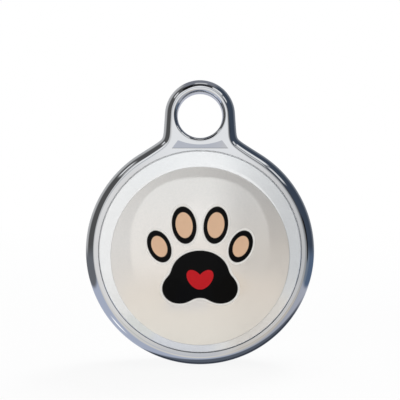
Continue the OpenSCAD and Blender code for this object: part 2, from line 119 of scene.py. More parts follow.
# %% [markdown]
# No real surface is dead even, so two recipes bring the finishes to life. In the first, which all
# of them use, soft noise laid out in the part's own space moves the colour between two tones and the
# roughness between two values. The second tilts the surface a little, as a grain or a wave of a
# given size and depth would. Noise hardly ever leaves the middle of its range, so the two tones sit
# at 0.3 and 0.7. A last helper puts a finish on a mesh.

# %% Recipes for the finishes
TONE_STOPS = (0.3, 0.7)


def drifting(tree, shader, size_mm, tones, rough, detail=3.0):
    """Patches about size_mm across, between two tones and two values of roughness."""
    spot = add(tree, "ShaderNodeTexCoord").outputs["Object"]
    noise = add(tree, "ShaderNodeTexNoise", {
        "Vector": spot, "Scale": 1 / (size_mm * MM), "Detail": detail})
    ramp = add(tree, "ShaderNodeValToRGB", {"Fac": noise.outputs["Fac"]})
    for i, tone in enumerate(tones):
        ramp.color_ramp.elements[i].position = TONE_STOPS[i]
        ramp.color_ramp.elements[i].color = linear(tone)
    spread = add(tree, "ShaderNodeMapRange", {
        "Value": noise.outputs["Fac"], "To Min": rough[0], "To Max": rough[1]})
    tree.links.new(ramp.outputs["Color"], shader.inputs["Base Color"])
    tree.links.new(spread.outputs["Result"], shader.inputs["Roughness"])
    return ramp.outputs["Color"]


def in_relief(tree, shader, size_mm, depth_mm, detail):
    """Bumps about size_mm across and depth_mm high, as tilts of the surface only."""
    spot = add(tree, "ShaderNodeTexCoord").outputs["Object"]
    noise = add(tree, "ShaderNodeTexNoise", {
        "Vector": spot, "Scale": 1 / (size_mm * MM), "Detail": detail})
    bump = add(tree, "ShaderNodeBump", {
        "Height": noise.outputs["Fac"], "Distance": depth_mm * MM, "Strength": 1.0})
    tree.links.new(bump.outputs["Normal"], shader.inputs["Normal"])


def dress(mesh, finish):
    """The finish becomes the only one of the mesh."""
    mesh.materials.clear()
    mesh.materials.append(finish)


print("tones at", TONE_STOPS, "of the noise")

# %% [markdown]
# The skins are patches of points on a grid. The part was drawn lying flat, face up, in
# millimetres, with the middle of the ring at zero, so the formulas stay in that drawing. Mirror
# chrome shows the slightest kink, so each patch also carries the exact normal of its formula.

# %% Patches
def grid(points, normals, closed=True):
    """Quads between the rows of a point grid; a closed grid joins its last column to its first."""
    index = np.arange(points.shape[0] * points.shape[1]).reshape(points.shape[:2])
    if closed:
        index = np.concatenate([index, index[:, :1]], axis=1)
    quads = np.stack([index[:-1, :-1], index[1:, :-1], index[1:, 1:], index[:-1, 1:]], axis=-1)
    return points.reshape(-1, 3), normals.reshape(-1, 3), quads.reshape(-1, 4)


def turned(profile, slopes, angles, centre=(0.0, 0.0)):
    """A half section of (radius, height) carried round an upright axis, with its normals."""
    c, s = np.cos(angles), np.sin(angles)
    r, z = profile[:, :1], profile[:, 1:]
    points = np.stack([centre[0] + r * c, centre[1] + r * s, z + 0 * c], axis=-1)
    normals = np.stack([slopes[:, :1] * c, slopes[:, :1] * s, slopes[:, 1:] + 0 * c], axis=-1)
    return grid(points, normals)


def turned_corners(corners, angles, centre=(0.0, 0.0)):
    """One patch per straight stretch of a section, so that its corners stay sharp. The solid is on
    the left of the way the section is walked."""
    ends = np.stack([corners[:-1], corners[1:]], axis=1)
    run = ends[:, 1] - ends[:, 0]
    slope = np.stack([run[:, 1], -run[:, 0]], axis=1) / np.linalg.norm(run, axis=1)[:, None]
    return [turned(e, np.stack([n, n]), angles, centre) for e, n in zip(ends, slope)]


def flat_patch(loops, height, normal):
    """A flat face with holes: the first loop is its rim, the others are cut out of it."""
    rings = [np.column_stack([loop, np.full(len(loop), height)]) for loop in loops]
    triangles = tessellate_polygon([[Vector(p) for p in ring] for ring in rings])
    points = np.concatenate(rings)
    return points, np.tile(np.array(normal, float), (len(points), 1)), np.array(triangles)


print("patch helpers:", [f.__name__ for f in (grid, turned, turned_corners, flat_patch)])

# %% [markdown]
# Patches that meet are welded into one closed mesh, and one function stands the result up from the
# flat drawing into the part's frame. The mesh keeps the patches' own normals, so a mirror sees the
# formulas and not the facets.

# %% Welding and placing
LOOP_Y = 21.35
WELD_MM = 1e-4


def stand_up(flat):
    """The flat drawing's (x, y, z) becomes (x, -z, y) in the part's frame."""
    return np.stack([flat[..., 0], -flat[..., 2], flat[..., 1]], axis=-1)


def weld(name, patches):
    """One mesh from patches: corners on the same spot share a vertex, a quad that lost a corner
    becomes a triangle, and each face is wound to agree with its own normals."""
    starts = np.cumsum([0] + [len(p) for p, n, f in patches])
    points = np.concatenate([p for p, n, f in patches])
    normals = np.concatenate([n for p, n, f in patches])
    spots = np.round(points / WELD_MM).astype(np.int64)
    first, shared = np.unique(spots, axis=0, return_index=True, return_inverse=True)[1:]
    shared = shared.ravel()
    faces, corners = [], []
    for (p, n, f), start in zip(patches, starts):
        f = f + start
        sides = points[f[:, 2]] - points[f[:, 0]], points[f[:, -1]] - points[f[:, 1]]
        back = np.einsum("ij,ij->i", np.cross(*sides), normals[f].sum(axis=1)) < 0
        f[back] = f[back][:, ::-1]
        met = shared[f] == np.roll(shared[f], -1, axis=1)
        kept = [f[~met.any(axis=1)]]
        if f.shape[1] == 4:
            once = met.sum(axis=1) == 1
            kept += [np.delete(f[met[:, lost] & once], lost, axis=1) for lost in range(4)]
        for rest in kept:
            faces += shared[rest].tolist()
            corners.append(normals[rest].reshape(-1, 3))
    mesh = bpy.data.meshes.new(name)
    drawn = points[first] - (0, LOOP_Y, 0)
    mesh.from_pydata((stand_up(drawn) * MM).tolist(), [], faces)
    mesh.shade_smooth()
    mesh.normals_split_custom_set(stand_up(np.concatenate(corners)))
    return mesh


def place(mesh, material, body, slot, *stood_for):
    """Puts a mesh into the scene as a piece that rides on a body and stands for CAD nodes."""
    dress(mesh, material)
    piece = new_object(mesh.name, mesh)
    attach(piece, body)
    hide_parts(*stood_for)
    print(piece.name, "has", len(mesh.polygons), "faces")
    return piece


print("corners closer than", WELD_MM, "mm are welded")

# %% [markdown]
# Bright chrome on a polished zinc casting: the plating follows the metal below it, which was
# buffed by hand, so the mirror is very slightly wavy. It gives the eye hard light and dark lines
# along every rounded edge, and a cool grey cast. A metal keeps the default IOR; only its colour
# and a roughness near nothing matter.

# %% Chrome finish
CAST_MM = 9.0
WAVE_MM, WAVE_DEPTH_MM = 2.5, 0.004
chrome, tree, shader = new_finish("zinc_casting_chrome_plated", Metallic=1.0)
drifting(tree, shader, CAST_MM, ("#CED0D3", "#D3D5D8"), (0.015, 0.04))
in_relief(tree, shader, WAVE_MM, WAVE_DEPTH_MM, detail=1.0)
print("made", chrome.name)

# %% [markdown]
# The frame is one casting: a ring, a loop with short straight sides, and two hollow corners that
# lead from one into the other. Each corner is a conic curve: it leaves the ring and the straight
# side along their own directions and bends hardest in the middle. The rounded edge is a profile
# carried along the outline: every profile point lies a little inside it, measured along the
# outline's own normal, which keeps the band of reflections even. The buffing wheel took more off
# the broad ring than off the narrow loop, so the edge is 1.62 mm wide on the ring and 1.33 mm on
# the loop, and each neck eases from one to the other.

# %% Outline of the frame
RING_R, LOOP_R = 18.0, 5.5
NECK_TURN, SIDE_TURN = 58.0, 4.0
CORNER_RUN, CORNER_PULL = 2.2, 5.5
EDGE_H, RING_EDGE_W, LOOP_EDGE_W = 1.5, 1.62, 1.33
RING_STEP, LOOP_STEP = 1.0, 2.0
CORNER_POINTS, SIDE_POINTS = 49, 8


def arc(centre, radius, start, end, step):
    """Points on an arc of the outline, and its outward normals; the angles are in degrees."""
    a = np.linspace(np.radians(start), np.radians(end), int(abs(end - start) / step) + 1)
    ray = np.column_stack([np.cos(a), np.sin(a)])
    return np.array(centre) + radius * ray, ray


def conic(start, corner, end, pull, count):
    """A curve from start to end that heads for the corner: the weighted mean of the three points,
    with weights (1-t)^2, 2*pull*t*(1-t) and t^2. Its normal is the slope turned by a right angle."""
    t = np.linspace(0, 1, count)[:, None]
    weights = np.hstack([(1 - t) ** 2, 2 * pull * t * (1 - t), t ** 2])
    slopes = np.hstack([2 * t - 2, 2 * pull * (1 - 2 * t), 2 * t])
    ends = np.array([start, corner, end])
    total = weights.sum(axis=1, keepdims=True)
    way = slopes @ ends * total - weights @ ends * slopes.sum(axis=1, keepdims=True)
    way = way / np.linalg.norm(way, axis=1, keepdims=True)
    return weights @ ends / total, np.column_stack([way[:, 1], -way[:, 0]])


ring_arc = arc((0, 0), RING_R, -180 - NECK_TURN, NECK_TURN, RING_STEP)
loop_arc = arc((0, LOOP_Y), LOOP_R, SIDE_TURN, 180 - SIDE_TURN, LOOP_STEP)
ring_end, loop_start, side_normal = ring_arc[0][-1], loop_arc[0][0], loop_arc[1][0]
ring_way = np.array([-ring_arc[1][-1, 1], ring_arc[1][-1, 0]])
side_way = np.array([-side_normal[1], side_normal[0]])
to_corner = np.linalg.solve(np.column_stack([ring_way, side_way]), loop_start - ring_end)[0]
corner = ring_end + to_corner * ring_way
side_start = corner + CORNER_RUN * side_way
bow, bow_normals = conic(ring_end, corner, side_start, CORNER_PULL, CORNER_POINTS)
side = np.linspace(side_start, loop_start, SIDE_POINTS)[1:]
neck = np.concatenate([bow, side])
neck_normals = np.concatenate([bow_normals, np.tile(side_normal, (len(side), 1))])
gone = np.concatenate([[0], np.cumsum(np.linalg.norm(np.diff(neck, axis=0), axis=1))])
share = gone / gone[-1]
neck_w = RING_EDGE_W + (LOOP_EDGE_W - RING_EDGE_W) * share * share * (3 - 2 * share)
print("necks of", round(gone[-1], 2), "mm")

# %% [markdown]
# The four stretches are joined into one closed walk round the frame. Where the edge grows wider
# along the way, its surface leans a little, so the walk also keeps how fast the width changes.

# %% Walk round the frame
MIRROR = np.array([-1, 1])
stretches = [
    (*ring_arc, np.full(len(ring_arc[0]), RING_EDGE_W)), (neck, neck_normals, neck_w),
    (*loop_arc, np.full(len(loop_arc[0]), LOOP_EDGE_W)),
    (neck[::-1] * MIRROR, neck_normals[::-1] * MIRROR, neck_w[::-1])]
outline, outward, edge_w = (np.concatenate([s[i][:-1] for s in stretches]) for i in range(3))
onward = np.column_stack([-outward[:, 1], outward[:, 0]])
step = np.linalg.norm(np.roll(outline, -1, axis=0) - np.roll(outline, 1, axis=0), axis=1)
widening = (np.roll(edge_w, -1) - np.roll(edge_w, 1)) / step
print("outline of", len(outline), "points")

# %% [markdown]
# The edge profile is a quarter of an ellipse at the front, a straight wall and a quarter round at
# the back. Its normal is that of the ellipse, with the lean of the changing width added.

# %% Rounded edge
REAR_EDGE_R, FRONT_Z = 1.25, 2.5
ROUND_STEPS = 24

quarter = np.linspace(0, np.pi / 2, ROUND_STEPS + 1)
bend = np.concatenate([quarter, quarter + np.pi / 2])
in_front = np.arange(len(bend)) <= ROUND_STEPS
sin_bend, cos_bend, front = np.sin(bend)[:, None], np.cos(bend)[:, None], in_front[:, None]
wide, high = np.where(front, edge_w, REAR_EDGE_R), np.where(front, EDGE_H, REAR_EDGE_R)
height = np.where(front, FRONT_Z - EDGE_H, REAR_EDGE_R - FRONT_Z) + high * cos_bend + 0 * wide
edge_points = np.dstack([outline - (wide * (1 - sin_bend))[..., None] * outward, height])
lean_on = np.where(front, high * sin_bend * (1 - sin_bend) * widening, 0)
edge_normals = np.dstack([
    (high * sin_bend)[..., None] * outward + lean_on[..., None] * onward, wide * cos_bend])
edge_normals = edge_normals / np.linalg.norm(edge_normals, axis=-1)[..., None]
print("edge of", edge_points.shape[0], "by", edge_points.shape[1], "points")

# %% [markdown]
# The openings are turned: the stepped bore that holds the face and the rear shell, with a groove
# that the shell's snap lugs click into, and the hole with its rounded lips.

# %% Bore and hole
FACE_R, RIM_CHAMFER, BORE_R, MOUTH_CHAMFER = 15.88, 0.04, 16.6, 0.1
LIP_Z, SNAP_Z, SNAP_H, SNAP_DEPTH = 1.2, -1.62, 0.5, 0.35
HOLE_R, HOLE_EDGE_R = 3.55, 0.6

round_angles = np.radians(np.arange(0, 360, RING_STEP))
hole_angles = np.radians(np.arange(0, 360, LOOP_STEP))
ray = np.column_stack([np.cos(round_angles), np.sin(round_angles)])
hole_ray = np.column_stack([np.cos(hole_angles), np.sin(hole_angles)])
hole_rim = np.array([0, LOOP_Y]) + (HOLE_R + HOLE_EDGE_R) * hole_ray

snap_top, snap_r = SNAP_Z + SNAP_H, BORE_R + SNAP_DEPTH
bore = turned_corners(np.array([
    [FACE_R + RIM_CHAMFER, FRONT_Z], [FACE_R, FRONT_Z - RIM_CHAMFER], [FACE_R, LIP_Z],
    [BORE_R, LIP_Z], [BORE_R, snap_top], [snap_r, snap_top], [snap_r, SNAP_Z], [BORE_R, SNAP_Z],
    [BORE_R, MOUTH_CHAMFER - FRONT_Z], [BORE_R + MOUTH_CHAMFER, -FRONT_Z]]), round_angles)

lip_r = HOLE_R + HOLE_EDGE_R * (1 - np.sin(bend))
lip_z = np.where(in_front, 1, -1) * (FRONT_Z - HOLE_EDGE_R) + HOLE_EDGE_R * np.cos(bend)
lip_slopes = np.column_stack([-np.sin(bend), np.cos(bend)])
hole_lips = turned(np.column_stack([lip_r, lip_z]), lip_slopes, hole_angles, (0, LOOP_Y))
print("bore of", len(bore), "stretches")

# %% [markdown]
# Between the hole and the face the casting has a shallow recess like a bow tie: its lower edge is
# straight, its upper edge follows the hole, and its floor slopes down towards the face. It catches
# a darker reflection than the flat around it.

# %% Recess in the neck
RECESS_LOW, RECESS_HALF, RECESS_LEAN = 16.2, 4.4, 0.95
RECESS_WAIST, RECESS_ARC, ARC_POINTS = 0.62, 9.1, 41
RECESS_DEPTH, RECESS_SLOPE = 0.3, np.radians(10)

arc_end = np.sqrt(RECESS_ARC ** 2 - (RECESS_ARC - RECESS_WAIST) ** 2)
arc_x = np.linspace(arc_end, -arc_end, ARC_POINTS)
arc_y = RECESS_WAIST + RECESS_ARC - np.sqrt(RECESS_ARC ** 2 - arc_x ** 2)
plan = np.concatenate([
    [[-RECESS_HALF, 0], [RECESS_HALF, 0], [RECESS_HALF - RECESS_LEAN, 2 * RECESS_WAIST]],
    np.column_stack([arc_x, arc_y]), [[RECESS_LEAN - RECESS_HALF, 2 * RECESS_WAIST]]])
sin_slope, cos_slope = np.sin(RECESS_SLOPE), np.cos(RECESS_SLOPE)
sink = RECESS_DEPTH - plan[:, 1] * sin_slope
recess_y = RECESS_LOW + plan[:, 1] * cos_slope
recess_rim = np.column_stack([plan[:, 0], recess_y - np.tan(RECESS_SLOPE) * sink])
_, floor_normals, floor_faces = flat_patch([plan], 0.0, (0, -sin_slope, cos_slope))
floor_points = np.column_stack([plan[:, 0], recess_y, FRONT_Z - sink])

wall_ends = np.stack([np.column_stack([recess_rim, np.full(len(plan), FRONT_Z)]), floor_points])
next_ends = np.roll(wall_ends, -1, axis=1)
along = np.roll(plan, -1, axis=0) - plan
facing = np.column_stack([-along[:, 1], along[:, 0], 0 * along[:, 0]])
facing = facing / np.linalg.norm(facing, axis=1)[:, None]
wall_points = np.stack([wall_ends[0], wall_ends[1], next_ends[1], next_ends[0]], axis=1)
wall_faces = np.arange(4 * len(plan)).reshape(-1, 4)
walls = wall_points.reshape(-1, 3), np.repeat(facing, 4, axis=0), wall_faces
print("recess of", len(plan), "walls")

# %% [markdown]
# The flat faces are filled between the edge and the openings, and all patches become one skin.

# %% Chrome frame
front_land = flat_patch([
    outline - edge_w[:, None] * outward, (FACE_R + RIM_CHAMFER) * ray, hole_rim, recess_rim],
    FRONT_Z, (0, 0, 1))
back_land = flat_patch([
    outline - REAR_EDGE_R * outward, (BORE_R + MOUTH_CHAMFER) * ray, hole_rim],
    -FRONT_Z, (0, 0, -1))
frame_mesh = weld("chrome_frame_skin", [
    grid(edge_points, edge_normals), front_land, back_land, *bore, hole_lips,
    (floor_points, floor_normals, floor_faces), walls])
place(frame_mesh, chrome, "tag_body", "chrome_plate", "chrome_frame")

# %% [markdown]
# The face is pearl white: a white plastic under a lacquer with mica flakes. The flakes lie flat
# and act like a thin share of metal in the paint, so the face mirrors the lights far more strongly
# than plain plastic would, and the edge of a light shows on it as a clear line. The finish says
# that with a part of Metallic. Flakes are a few hundredths of a millimetre; they are drawn ten
# times coarser, and very faint, so that they show at all.

# %% Pearl white finish of the face
BORDER_PEARL, LABEL_PEARL = 0.45, 0.35
FLAKE_MM, LACQUER_ROUGH = 0.3, (0.02, 0.04)
pearl, tree, shader = new_finish(
    "abs_moulded_pearl_lacquered", Metallic=BORDER_PEARL, Specular_IOR_Level=0.5, IOR=1.5)
drifting(tree, shader, FLAKE_MM, ("#F5F7F8", "#F9FBFC"), LACQUER_ROUGH, detail=1.0)
dress(nodes["front_cap"].data, pearl)
print("made", pearl.name)

# %% [markdown]
# The middle of the face is a domed label: a printed film under a clear drop of resin that swelled
# to a shallow dome and set. The print is a plain paw with a heart, a stock motif of pet shops.
# Every pad is an ellipse: a Mapping node moves it to the origin, turns it and shrinks it to a unit
# circle, so that the length of the result is 1 on its edge. Soft minima melt the three big ellipses
# into one pad.

# %% Shapes of the print
label_finish, tree, shader = new_finish("vinyl_printed_resin_domed", Specular_IOR_Level=0.05, IOR=1.5)
label_spot = add(tree, "ShaderNodeTexCoord").outputs["Object"]
PAW_Y, PAD_MELT = -1.0, 1.2
ANY_DEPTH = 1e6


def ellipse(x, y, half_w, half_h, lean=0.0):
    """Distance measure of an ellipse on the face, in millimetres off its edge, negative inside."""
    unit = add(tree, "ShaderNodeMapping", {
        "Vector": label_spot, "Location": (x * MM, 0, (y - LOOP_Y) * MM),
        "Rotation": (0, np.radians(lean), 0),
        "Scale": (half_w * MM, ANY_DEPTH, half_h * MM)}, vector_type="TEXTURE")
    far = add(tree, "ShaderNodeVectorMath", {0: unit.outputs[0]}, operation="LENGTH")
    past = add(tree, "ShaderNodeMath", {0: far.outputs["Value"], 1: 1.0}, operation="SUBTRACT")
    return add(tree, "ShaderNodeMath", {
        0: past.outputs[0], 1: (half_w + half_h) / 2}, operation="MULTIPLY").outputs[0]


def pair(x, y, half_w, half_h, lean):
    """An ellipse and its mirror image on the other side of the middle."""
    return [ellipse(side * x, y, half_w, half_h, side * lean) for side in (-1, 1)]


def nearest(shapes, melt=0.0):
    """The smallest of several distances; melt rounds the inner corners over so many millimetres."""
    joined = shapes[0]
    for shape in shapes[1:]:
        both = {0: joined, 1: shape, 2: melt}
        joined = add(tree, "ShaderNodeMath", both, operation="SMOOTH_MIN").outputs[0]
    return joined


main_pad = nearest([
    ellipse(0, PAW_Y - 2.3, 4.5, 3.7), *pair(3.0, PAW_Y - 4.4, 2.9, 2.5, 14)], PAD_MELT)
toes = nearest([
    *pair(6.3, PAW_Y + 2.0, 1.75, 2.6, 24), *pair(2.45, PAW_Y + 5.3, 1.9, 2.9, 8)])
heart = nearest(pair(0.72, PAW_Y - 3.15, 1.05, 1.75, 38))
paw = nearest([main_pad, toes])
print("shapes of", len(tree.nodes), "nodes")

# %% [markdown]
# The inks are laid one over the other, as a screen printer does: a thin white border as such labels
# are cut, black, peach on the toes and red in the heart. The film itself is a warm pearl white. Under
# the inks lie a painted shade that deepens the colour towards the lower right and painted light that
# pales it again near the foot. Resin and film give the eye a glossy, creamy white, while the inks
# stay flat and take no share of the pearl.

# %% Printed label finish with painted shade and light
WHITE_RIM, TOE_RIM, SOFT_RIM = 0.3, 0.75, 0.04
label_colour = drifting(tree, shader, FLAKE_MM, ("#F2F0EC", "#F7F4F0"), LACQUER_ROUGH, detail=1.0)
lower_right, down = [
    add(tree, "ShaderNodeVectorMath", {0: label_spot, 1: way}, operation="DOT_PRODUCT").outputs["Value"]
    for way in ((0.37, 0.0, -1.0), (0.0, 0.0, -1.0))]
# what is measured, where the layer starts, where it is full, and its colour; the first row is painted
# shade, the second painted light, the rest are inks
PAINTED_LIGHT_AND_INKS = [
    # painted shade: darker and warmer towards the lower right
    (lower_right, (LOOP_Y - 6) * MM, (LOOP_Y + 4) * MM, "#F7F0E7"),
    # painted light: paler again towards the foot
    (down, (LOOP_Y + 6) * MM, (LOOP_Y + 13) * MM, "#FDF9F1"),
    (paw, WHITE_RIM + SOFT_RIM, WHITE_RIM - SOFT_RIM, "#FBF8F2"),
    (paw, SOFT_RIM, -SOFT_RIM, "#0B0B0C"),
    (toes, SOFT_RIM - TOE_RIM, -SOFT_RIM - TOE_RIM, "#F2C9A6"),
    (heart, SOFT_RIM, -SOFT_RIM, "#D2232A"),
]
for measure, start, full, layer_colour in PAINTED_LIGHT_AND_INKS:
    mask = add(tree, "ShaderNodeMapRange", {"Value": measure, "From Min": start, "From Max": full})
    label_colour = add(tree, "ShaderNodeMix", {
        0: mask.outputs["Result"], 6: label_colour, 7: linear(layer_colour)}, data_type="RGBA").outputs[2]
flakes = add(tree, "ShaderNodeMapRange", {
    "Value": paw, "From Min": WHITE_RIM + SOFT_RIM, "From Max": WHITE_RIM - SOFT_RIM,
    "To Min": LABEL_PEARL, "To Max": 0.0})
tree.links.new(label_colour, shader.inputs["Base Color"])
tree.links.new(flakes.outputs["Result"], shader.inputs["Metallic"])
print("label finish of", len(tree.nodes), "nodes")

# %% [markdown]
# The dome is a slice of a big ball, turned from its half section: the flat back, a thin upright
# edge, a small round where the resin stopped at the film's rim, and the slice of the ball itself.
# Such labels are stuck on by hand. On the photographed tag it sits some 0.65 mm low, so the white
# border is wider above it than below it. Its thin rim follows the border's slope, so the back of
# this skin lies a hair inside the face.

# %% Domed label
LABEL_R, LABEL_Z, LABEL_EDGE, DOME_H, RESIN_ROUND = 13.95, 2.77, 0.15, 1.2, 0.1
LABEL_LOW, FILM_Z = 0.65, 2.7
RESIN_STEPS, DOME_STEPS = 9, 61
label_centre = (0, -LABEL_LOW)
ball_r = (LABEL_R ** 2 + DOME_H ** 2) / (2 * DOME_H)
ball_z = LABEL_Z + LABEL_EDGE + DOME_H - ball_r
round_r = LABEL_R - RESIN_ROUND
round_z = ball_z + np.sqrt((ball_r - RESIN_ROUND) ** 2 - round_r ** 2)
lean = np.arctan2(round_z - ball_z, round_r)
turn = np.linspace(0, lean, RESIN_STEPS)
resin_edge = np.column_stack([np.cos(turn), np.sin(turn)])
fall = np.linspace(np.pi / 2 - lean, 0, DOME_STEPS)
ball = np.column_stack([np.sin(fall), np.cos(fall)])
film_section = np.array([[0, FILM_Z], [LABEL_R, FILM_Z], [LABEL_R, round_z]])
resin_section = np.array([round_r, round_z]) + RESIN_ROUND * resin_edge
dome_section = np.array([0, ball_z]) + ball_r * ball
dome_mesh = weld("dome_label_skin", [
    *turned_corners(film_section, round_angles, label_centre),
    turned(resin_section, resin_edge, round_angles, label_centre),
    turned(dome_section, ball, round_angles, label_centre)])
place(dome_mesh, label_finish, "face_button", "printed_resin", "dome_label")

# %% [markdown]
# The rear shell and the battery door are moulded in white ABS with a fine spark-eroded grain that
# takes the shine off. The real grain is about a tenth of a millimetre; it is drawn half a
# millimetre wide so that it shows. The solids are right as they are, with posts, lugs and notches
# that no simple formula gives, so a copy of each mesh is merged, its creases are marked by angle,
# and the weighted normals let the flat faces stay flat while the round ones shade smoothly.

# %% Moulded back
PATCH_MM, GRAIN_MM, GRAIN_DEPTH_MM = 0.9, 0.5, 0.05
MERGE_MM, CREASE = 0.002, np.radians(25)
shell_abs, tree, shader = new_finish("abs_moulded_satin_grain", Specular_IOR_Level=0.5, IOR=1.53)
drifting(tree, shader, PATCH_MM, ("#E8E8E5", "#ECECE9"), (0.36, 0.46))
in_relief(tree, shader, GRAIN_MM, GRAIN_DEPTH_MM, detail=2.0)


def smooth_copy(node, name):
    """A merged copy of a CAD mesh: creases sharper than 25 degrees stay, the rest shades smoothly."""
    mesh = nodes[node].data.copy()
    mesh.name = name
    whole = bmesh.new()
    whole.from_mesh(mesh)
    bmesh.ops.remove_doubles(whole, verts=whole.verts, dist=MERGE_MM * MM)
    whole.to_mesh(mesh)
    whole.free()
    if "custom_normal" in mesh.attributes:
        mesh.attributes.remove(mesh.attributes["custom_normal"])
    mesh.shade_smooth()
    mesh.set_sharp_from_angle(angle=CREASE)
    return mesh


for node, body in (("rear_shell", "tag_body"), ("battery_door", "battery_door")):
    piece = place(smooth_copy(node, node + "_skin"), shell_abs, body, "shell_plastic", node)
    weighted = piece.modifiers.new("flat_faces_stay_flat", "WEIGHTED_NORMAL")
    weighted.keep_sharp = True

# %% [markdown]
# The pieces inside keep their CAD shapes, and each gets the finish of its real material, because
# the part is also looked at taken apart. The recipe is the same for all: a base colour that drifts
# a little over a size that suits the material, and a roughness that drifts with it. Their real grain
# is finer than a tenth of a millimetre, so the patches are drawn coarse enough to show.

# %% Finishes of the inner pieces
# finish, size of its patches in mm, two tones, roughness, share of metal, nodes
INNER = [
    # soft dark rubber that hardly shines
    ("silicone_moulded_matt", 0.8, ("#3A3D40", "#45484B"), (0.55, 0.68), 0.0,
     ["face_seal", "rear_seal", "door_seal"]),
    # green lacquer with a low gloss
    ("fibreglass_board_solder_mask", 0.7, ("#0E4A2C", "#16603A"), (0.3, 0.42), 0.0,
     ["circuit_board"]),
    # dull bluish metal
    ("steel_screw_zinc_plated", 0.4, ("#9EA2A6", "#B4B8BB"), (0.25, 0.38), 1.0, ["board_screws"]),
    # black with a chalky bloom
    ("epoxy_moulded_chip", 0.3, ("#151617", "#222426"), (0.5, 0.62), 0.0,
     ["radio_chip", "positioning_chip", "sounder", "switch_base"]),
    # bright metal with a warm cast
    ("crystal_can_nickel_plated", 0.4, ("#B9B6AE", "#CAC7BF"), (0.2, 0.3), 1.0,
     ["crystals", "switch_cover"]),
    # chalk white, as porcelain without its glaze
    ("alumina_fired_antenna", 0.3, ("#E4E2DA", "#F0EEE8"), (0.45, 0.55), 0.0,
     ["radio_antenna", "positioning_antenna"]),
    # tan, as unglazed pottery
    ("barium_titanate_fired", 0.2, ("#A98A63", "#BC9C74"), (0.4, 0.5), 0.0, ["chip_capacitors"]),
    # dark and dry, as pencil lead
    ("ferrite_pressed", 0.2, ("#3B3B3D", "#4C4C4E"), (0.6, 0.7), 0.0, ["power_inductors"]),
    # mustard yellow with a faint shine
    ("tantalum_resin_moulded", 0.3, ("#C98D1E", "#D99F33"), (0.4, 0.5), 0.0, ["reserve_capacitor"]),
    # milky and a little waxy
    ("nylon_moulded", 0.5, ("#E7E1D2", "#F0EBDD"), (0.4, 0.52), 0.0, ["switch_plunger"]),
    # yellow metal with a soft shine
    ("bronze_leaf_gilt", 0.5, ("#D8B25A", "#E6C273"), (0.2, 0.32), 1.0,
     ["negative_contact", "positive_contacts"]),
    # cool grey metal, a blurred mirror
    ("stainless_steel_rolled", 0.6, ("#B8BABC", "#CDCFD0"), (0.22, 0.34), 1.0,
     ["cell_can", "cell_lid"]),
    # black and faintly waxy
    ("polypropylene_gasket", 0.5, ("#2A2B2D", "#36373A"), (0.45, 0.55), 0.0, ["cell_gasket"]),
    # sooty, with no shine at all
    ("pressed_manganese_mix", 0.2, ("#2B2A29", "#3C3A38"), (0.8, 0.92), 0.0, ["cell_filling"]),
    # charcoal, matt and full of pores
    ("polyurethane_foam_cut", 0.3, ("#2F3133", "#46494B"), (0.85, 0.95), 0.0, ["cell_cushion"]),
]
for name, size, tones, rough, metal, dressed in INNER:
    finish, tree, shader = new_finish(name, Metallic=metal)
    drifting(tree, shader, size, tones, rough)
    for node in dressed:
        dress(nodes[node].data, finish)
print("dressed", sum(len(row[-1]) for row in INNER), "inner nodes")

# %% [markdown]
# The stage: a pale floor right under the tag and a white room. To the lens, and to whatever
# mirrors or refracts, floor and room are plain white; the floor keeps a share of its real shading,
# so that the tag still casts its shadow. For all other light the room is an even soft glow.

# %% Floor and room
FLOOR_Z, FLOOR_HALF, FLOOR_LINES = -39.37 * MM, 3.0, 9
SHADE_NEAR, SHADE_FAR, WHITE_SHARE = 0.08, 0.3, 0.9
ROOM_GLOW, PURE_WHITE = 0.24, (1, 1, 1, 1)


def seen_white(tree):
    """1 for rays from the lens, from a mirror or through glass, else 0."""
    path = add(tree, "ShaderNodeLightPath")
    seen = add(tree, "ShaderNodeMath", {
        0: path.outputs["Is Camera Ray"], 1: path.outputs["Is Glossy Ray"]}, operation="MAXIMUM")
    return add(tree, "ShaderNodeMath", {
        0: seen.outputs[0], 1: path.outputs["Is Transmission Ray"]}, operation="MAXIMUM").outputs[0]


# matt paper: it gives the eye a soft shadow and no shine
paper, tree, shader = new_finish("paper_sweep_matt", Roughness=0.9)
shader.inputs["Base Color"].default_value = linear("#F8F8F8")
far = add(tree, "ShaderNodeVectorMath", {
    0: add(tree, "ShaderNodeTexCoord").outputs["Object"]}, operation="LENGTH")
fade = add(tree, "ShaderNodeMapRange", {
    "Value": far.outputs["Value"], "From Min": SHADE_NEAR, "From Max": SHADE_FAR,
    "To Min": WHITE_SHARE, "To Max": 1.0})
share = add(tree, "ShaderNodeMath", {
    0: seen_white(tree), 1: fade.outputs["Result"]}, operation="MULTIPLY")
glow = add(tree, "ShaderNodeEmission", {"Color": PURE_WHITE, "Strength": 1.0})
both = add(tree, "ShaderNodeMixShader", {0: share.outputs[0], 1: shader.outputs[0], 2: glow.outputs[0]})
tree.links.new(both.outputs[0], tree.nodes["Material Output"].inputs["Surface"])
lines = np.linspace(-FLOOR_HALF, FLOOR_HALF, FLOOR_LINES)
floor_grid = np.stack([*np.meshgrid(lines, lines), np.full((FLOOR_LINES, FLOOR_LINES), FLOOR_Z)], axis=-1)
sheet_points, _, sheet_faces = grid(floor_grid, floor_grid, closed=False)
floor_mesh = bpy.data.meshes.new("floor")
floor_mesh.from_pydata(sheet_points.tolist(), [], sheet_faces[:, ::-1].tolist())
floor_mesh.materials.append(paper)
floor = new_object("floor", floor_mesh)

room = bpy.data.worlds.new("white_room")
bpy.context.scene.world = room
room.use_nodes = True
tree = room.node_tree
tree.nodes.clear()
soft = add(tree, "ShaderNodeBackground", {"Color": linear("#F6F7FA"), "Strength": ROOM_GLOW})
white = add(tree, "ShaderNodeBackground", {"Color": PURE_WHITE, "Strength": 1.0})
both = add(tree, "ShaderNodeMixShader", {0: seen_white(tree), 1: soft.outputs[0], 2: white.outputs[0]})
add(tree, "ShaderNodeOutputWorld", {"Surface": both.outputs[0]})
print("floor at", round(FLOOR_Z / MM, 2), "mm")

